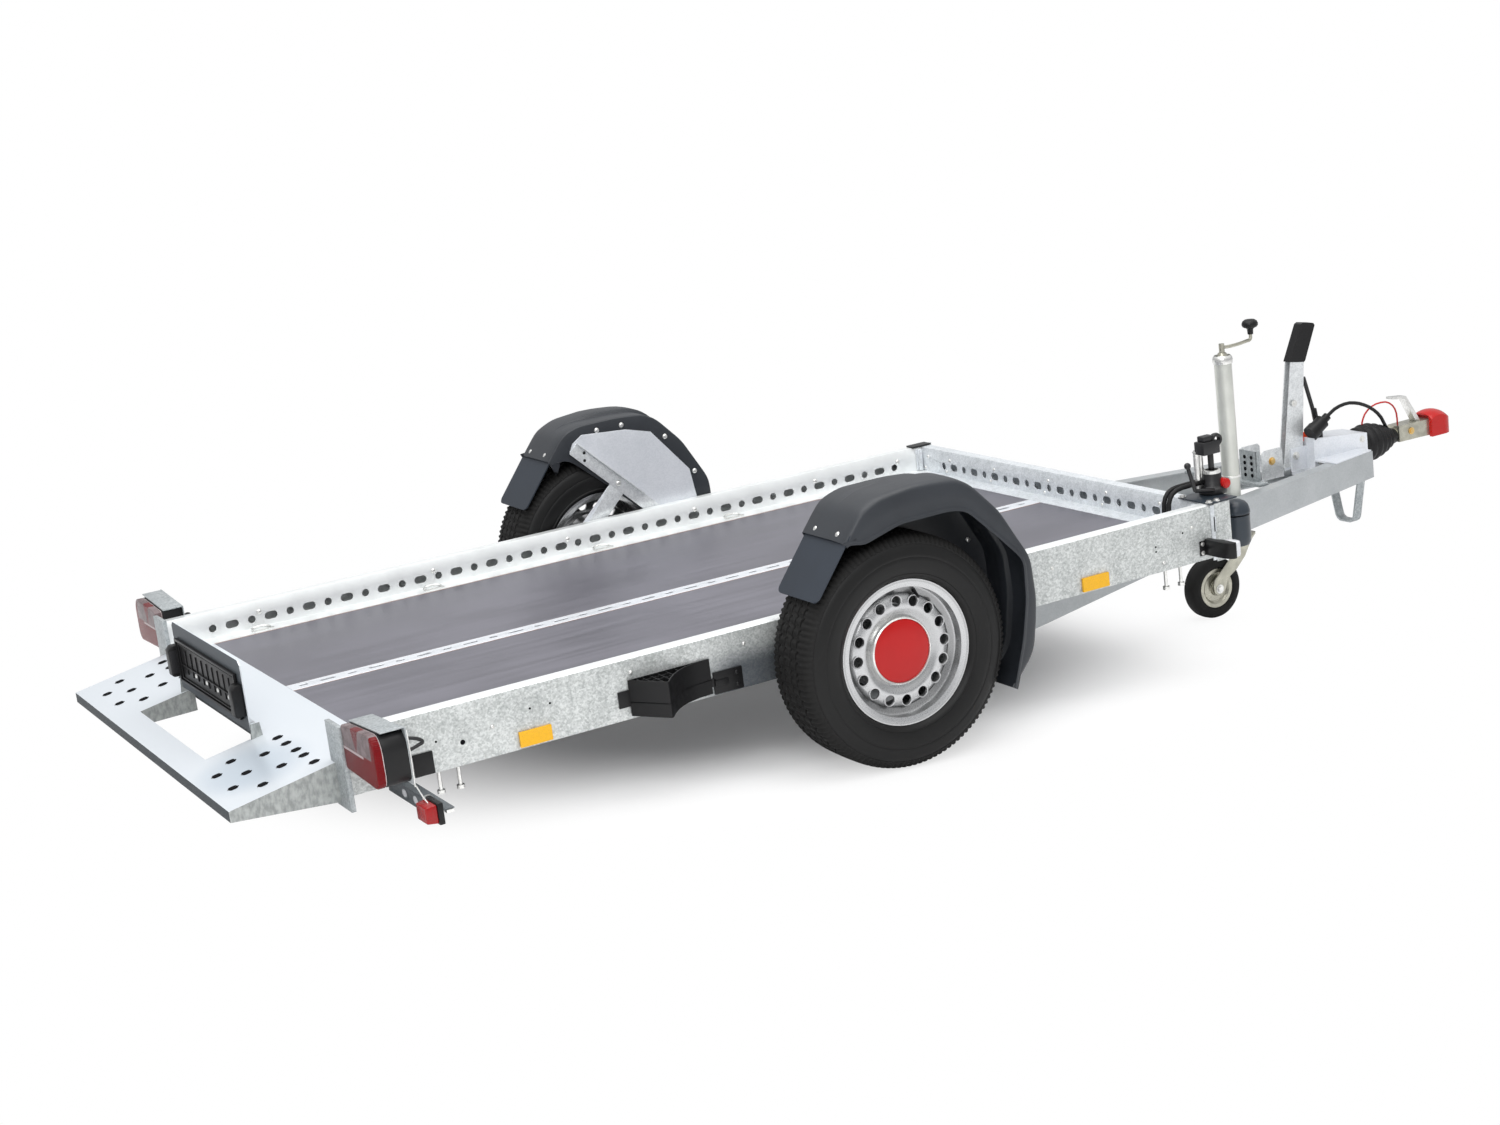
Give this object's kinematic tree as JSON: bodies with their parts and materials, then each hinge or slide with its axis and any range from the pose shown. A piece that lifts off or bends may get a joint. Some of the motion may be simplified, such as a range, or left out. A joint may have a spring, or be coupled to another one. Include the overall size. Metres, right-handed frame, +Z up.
{
  "type": "drop-deck trailer",
  "caption": "Low flat trailer with a hinged deck that lowers to the ground, a folded rear ramp, perforated side rails, an overrun coupling and a jockey wheel.",
  "frame": {"origin": "middle of the bounding box on the floor, under the trailer", "axes": "+X forwards to the coupling, +Y to the trailer's left, +Z up; the trailer stands on both road wheels and the jockey wheel, nose up by 3.9 degrees"},
  "size_m": [4.638, 2.14, 0.9588],
  "materials": {
    "galvanised": "hot-dip galvanised, mottled matt grey",
    "bright_sheet": "new galvanised sheet, satin",
    "zinc": "yellowish zinc plate, satin",
    "plywood": "grey-violet phenolic film, satin",
    "black_paint": "black paint, satin",
    "black_plastic": "black plastic, matt",
    "slate_plastic": "slate grey plastic, satin",
    "soft_rubber": "black rubber, matt",
    "tyre": "black tyre rubber, matt",
    "rim_paint": "silver paint, satin",
    "red_plastic": "red plastic, gloss",
    "lens_red": "red lens, gloss",
    "lens_clear": "clear lens, gloss",
    "amber": "amber reflector, gloss"
  },
  "bodies": {
    "chassis": {"drawbar_right": "galvanised", "drawbar_left": "galvanised", "axle": "galvanised", "stub_arms": "black_paint", "mudguard_right": "slate_plastic", "mudguard_left": "slate_plastic", "mud_flaps": "slate_plastic", "guard_supports": "bright_sheet", "overrun_housing": "bright_sheet", "bellows": "soft_rubber", "coupling_head": "zinc", "coupling_cap": "red_plastic", "coupling_handle": "bright_sheet", "handbrake_lever": "bright_sheet", "handbrake_grip": "black_plastic", "brake_strut": "black_paint", "jockey_tube": "zinc", "crank": "zinc", "plug": "black_plastic", "plug_lead": "soft_rubber", "breakaway_cable": "red_plastic", "support_loop": "zinc", "arm_bracket": "zinc"},
    "deck": {"rail_right": "galvanised", "rail_left": "galvanised", "front_board": "galvanised", "centre_rail": "bright_sheet", "deck_panel_right": "plywood", "deck_panel_left": "plywood", "cross_members": "galvanised", "pivot_shaft": "zinc", "ramp": "bright_sheet", "corner_posts": "galvanised", "lamp_housings": "black_plastic", "lamp_lenses": "lens_red", "rear_markers": "lens_red", "front_markers": "black_plastic", "marker_lenses": "lens_clear", "reflectors": "amber", "chocks": "black_plastic", "lashing_pegs": "zinc", "pump_plate": "black_paint", "pump": "black_paint", "tank": "slate_plastic", "hoses": "soft_rubber"},
    "flap": {"plate_flap": "galvanised", "plate_holder": "black_plastic", "plate_lamps": "black_plastic"},
    "wheel_right": {"rim_right": "rim_paint", "tyre_right": "tyre", "cap_right": "red_plastic"},
    "wheel_left": {"rim_left": "rim_paint", "tyre_left": "tyre", "cap_left": "red_plastic"},
    "jockey_swivel": {"jockey_fork": "zinc"},
    "jockey_wheel": {"jockey_rim": "rim_paint", "jockey_tyre": "tyre"}
  },
  "joints": [
    {"name": "deck_lower", "type": "hinge", "parent": "chassis", "child": "deck", "pos_m": [0.57602, 0, 0.38025], "axis": [0, -1, 0], "range_deg": [0, 2.8]},
    {"name": "flap_fold", "type": "hinge", "parent": "deck", "child": "flap", "pos_m": [-2.11204, 0, 0.26014], "axis": [0, -1, 0], "range_deg": [0, 80]},
    {"name": "wheel_right_spin", "type": "hinge", "parent": "chassis", "child": "wheel_right", "pos_m": [-0.57217, -0.9, 0.3145], "axis": [0, 1, 0], "continuous": true},
    {"name": "wheel_left_spin", "type": "hinge", "parent": "chassis", "child": "wheel_left", "pos_m": [-0.57217, 0.9, 0.3145], "axis": [0, 1, 0], "continuous": true},
    {"name": "jockey_turn", "type": "hinge", "parent": "chassis", "child": "jockey_swivel", "pos_m": [1.18655, -0.20362, 0.31963], "axis": [-0.068, 0, 0.9977], "continuous": true},
    {"name": "jockey_spin", "type": "hinge", "parent": "jockey_swivel", "child": "jockey_wheel", "pos_m": [1.09027, -0.20362, 0.1], "axis": [0, 1, 0], "continuous": true}
  ]
}
